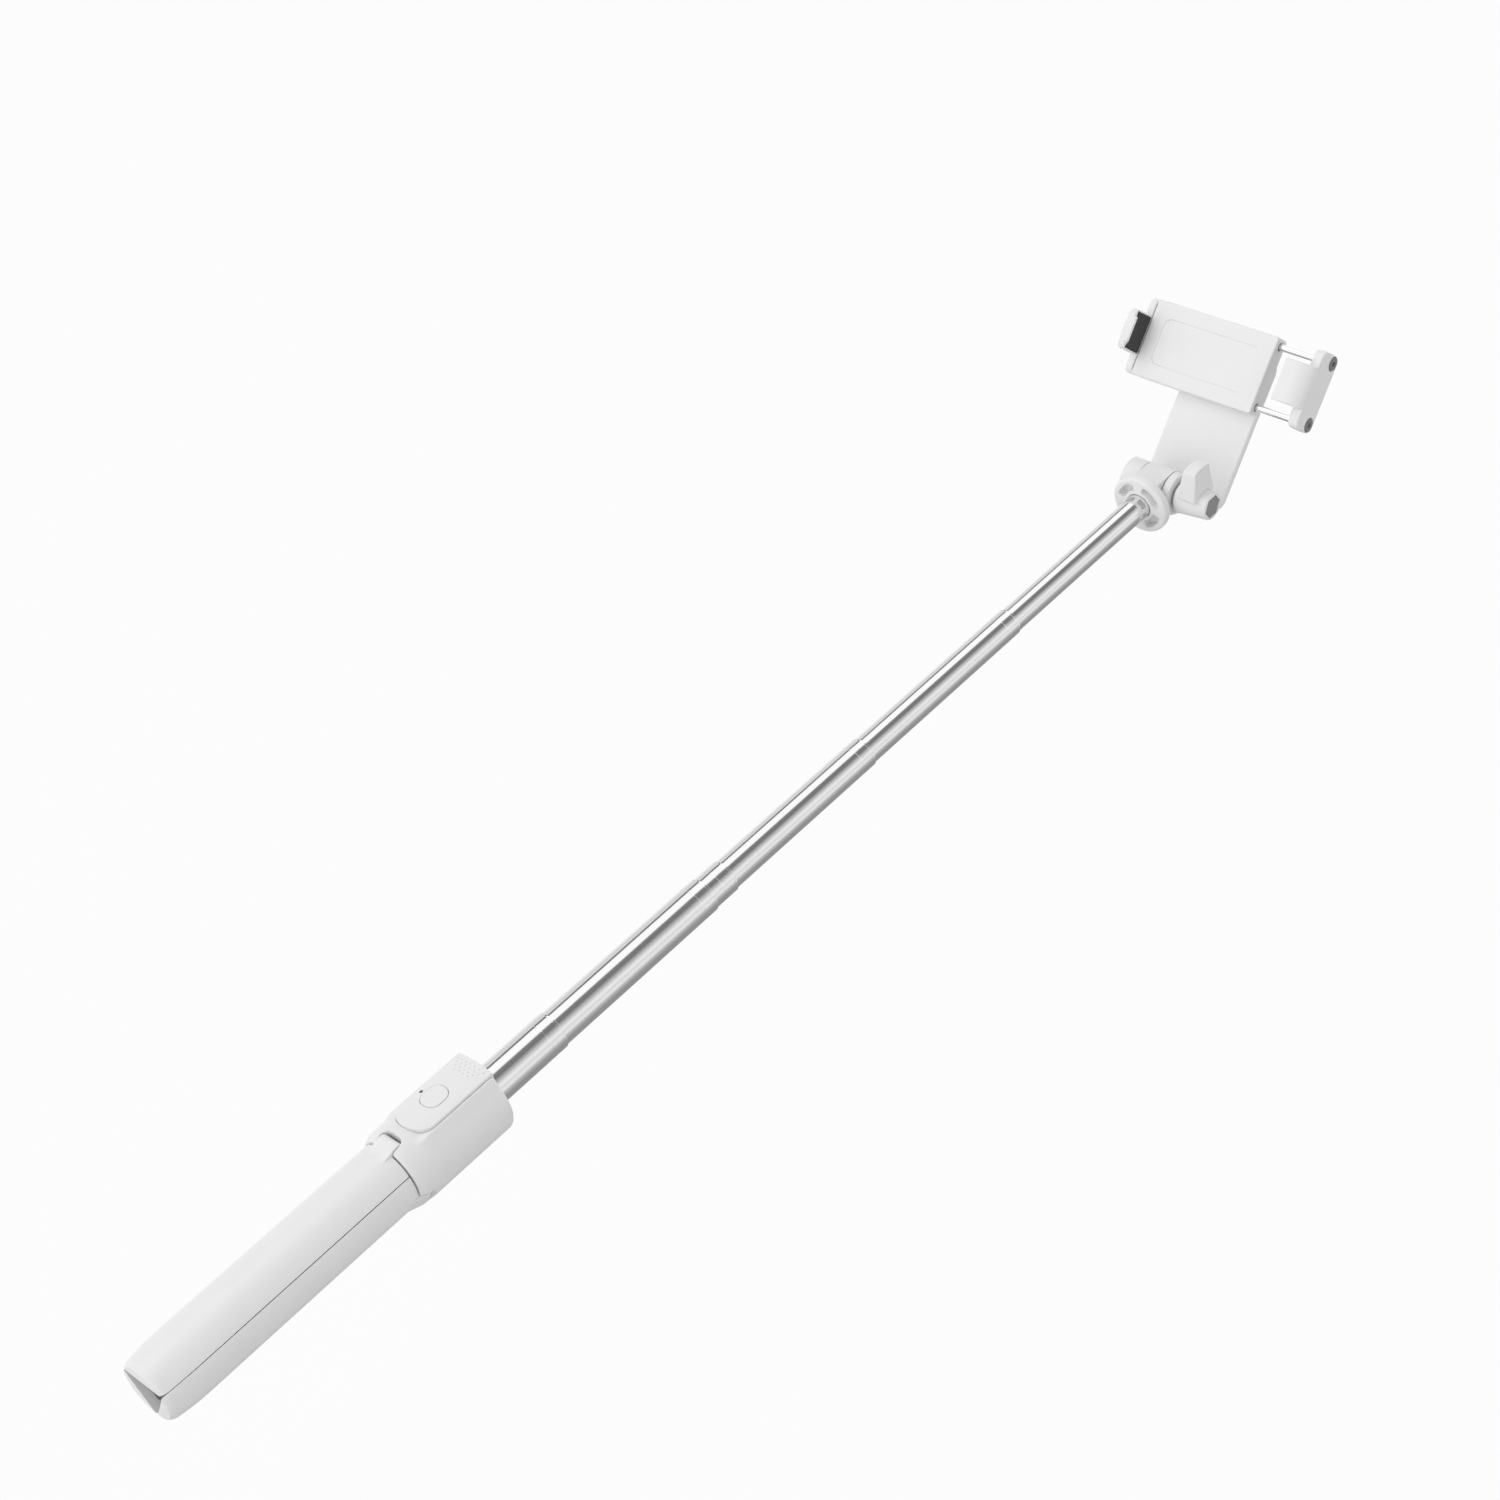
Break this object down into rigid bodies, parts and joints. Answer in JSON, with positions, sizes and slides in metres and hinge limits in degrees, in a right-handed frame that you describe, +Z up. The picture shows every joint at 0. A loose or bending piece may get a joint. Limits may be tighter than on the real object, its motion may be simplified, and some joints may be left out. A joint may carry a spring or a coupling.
{
  "type": "selfie stick",
  "caption": "Telescopic selfie stick whose handle opens into a tripod, with a tilting and turning phone clamp on guide rods and a button remote that lifts out of the handle.",
  "frame": {"origin": "bottom centre of the stick's box as it lies with its legs closed, the pole drawn out and the clamp tilted up by 45 degrees", "axes": "+X along the pole from the handle's end to the clamp, +Z up through the remote's button, -Y towards the tilt knob"},
  "size_m": [0.5544, 0.0804, 0.0587],
  "materials": {
    "white_plastic": "satin white",
    "grey_plastic": "satin grey",
    "grey_metal": "satin grey",
    "dark_rubber": "matt dark grey",
    "polished_steel": "polished",
    "spring_steel": "plain",
    "circuit_board": "lacquered",
    "indicator": "clear tinted"
  },
  "bodies": {
    "head": {"head_housing": "white_plastic", "pole_guide_sleeve": "white_plastic", "pole_guide_bush": "white_plastic", "leg_pin_1": "polished_steel", "leg_pin_2": "polished_steel", "leg_pin_3": "polished_steel"},
    "first_leg": {"leg_1": "white_plastic"},
    "second_leg": {"leg_2": "white_plastic"},
    "third_leg": {"leg_3": "white_plastic"},
    "pole_stage_1": {"tube_1": "polished_steel", "pole_end_plug": "grey_plastic"},
    "pole_stage_2": {"tube_2": "polished_steel"},
    "pole_stage_3": {"tube_3": "polished_steel"},
    "pole_stage_4": {"tube_4": "polished_steel"},
    "pole_stage_5": {"tube_5": "polished_steel"},
    "pole_stage_6": {"tube_6": "polished_steel", "collar_flange": "white_plastic"},
    "bracket": {"clamp_bracket": "white_plastic", "tilt_nut": "spring_steel", "swivel_screw": "spring_steel", "knob_washer": "spring_steel"},
    "knob": {"tilt_knob": "white_plastic", "tilt_bolt": "grey_metal"},
    "clamp": {"clamp_body": "white_plastic", "fixed_jaw": "white_plastic", "fixed_jaw_pad": "dark_rubber", "clamp_spring_upper": "spring_steel", "clamp_spring_lower": "spring_steel"},
    "slider": {"sliding_jaw": "white_plastic", "sliding_jaw_pad": "dark_rubber", "guide_rod_upper": "polished_steel", "guide_rod_lower": "polished_steel", "rod_cap_upper": "grey_plastic", "rod_cap_lower": "grey_plastic", "rod_stop_upper": "spring_steel", "rod_stop_lower": "spring_steel"},
    "remote": {"remote_shell": "white_plastic", "remote_back_cover": "white_plastic", "remote_board": "circuit_board", "remote_switch": "grey_plastic", "remote_cell": "spring_steel", "remote_led": "indicator"},
    "button": {"remote_button": "white_plastic"}
  },
  "joints": [
    {"name": "pole_slide_1", "type": "slide", "parent": "head", "child": "pole_stage_1", "axis": [1, 0, 0], "range_m": [-0.0301, 0.0593]},
    {"name": "pole_slide_2", "type": "slide", "parent": "pole_stage_1", "child": "pole_stage_2", "axis": [1, 0, 0], "range_m": [-0.0713, 0.0181]},
    {"name": "pole_slide_3", "type": "slide", "parent": "pole_stage_2", "child": "pole_stage_3", "axis": [1, 0, 0], "range_m": [-0.0098, 0.0796]},
    {"name": "pole_slide_4", "type": "slide", "parent": "pole_stage_3", "child": "pole_stage_4", "axis": [1, 0, 0], "range_m": [-0.0711, 0.0183]},
    {"name": "pole_slide_5", "type": "slide", "parent": "pole_stage_4", "child": "pole_stage_5", "axis": [1, 0, 0], "range_m": [-0.0806, 0.0088]},
    {"name": "pole_slide_6", "type": "slide", "parent": "pole_stage_5", "child": "pole_stage_6", "axis": [1, 0, 0], "range_m": [-0.0776, 0.0038]},
    {"name": "first_leg_hinge", "type": "hinge", "parent": "head", "child": "first_leg", "pos_m": [-0.17612, 0, 0.02649], "axis": [0, 1, 0], "range_deg": [0, 70]},
    {"name": "second_leg_hinge", "type": "hinge", "parent": "head", "child": "second_leg", "pos_m": [-0.17612, -0.00953, 0.00999], "axis": [0, -0.5, 0.866], "range_deg": [0, 70]},
    {"name": "third_leg_hinge", "type": "hinge", "parent": "head", "child": "third_leg", "pos_m": [-0.17612, 0.00953, 0.00999], "axis": [0, -0.5, -0.866], "range_deg": [0, 70]},
    {"name": "clamp_tilt", "type": "hinge", "parent": "pole_stage_6", "child": "bracket", "pos_m": [0.21828, 0, 0.01549], "axis": [0, -1, 0], "range_deg": [-70, 45]},
    {"name": "knob_turn", "type": "hinge", "parent": "bracket", "child": "knob", "pos_m": [0.21828, 0, 0.01549], "axis": [0, -1, 0], "continuous": true},
    {"name": "clamp_swivel", "type": "hinge", "parent": "bracket", "child": "clamp", "pos_m": [0.26671, 0, 0.04045], "axis": [-0.7071, 0, 0.7071], "range_deg": [0, 90]},
    {"name": "jaw_slide", "type": "slide", "parent": "clamp", "child": "slider", "axis": [0, -1, 0], "range_m": [-0.018, 0.014], "deforming": ["clamp_spring_upper", "clamp_spring_lower"]},
    {"name": "remote_lift", "type": "slide", "parent": "head", "child": "remote", "axis": [0, 0, 1], "range_m": [0, 0.015]},
    {"name": "button_press", "type": "slide", "parent": "remote", "child": "button", "axis": [0, 0, 1], "range_m": [-0.0005, 0], "stiffness_N_per_m": 400, "springref_m": 0.0005}
  ]
}
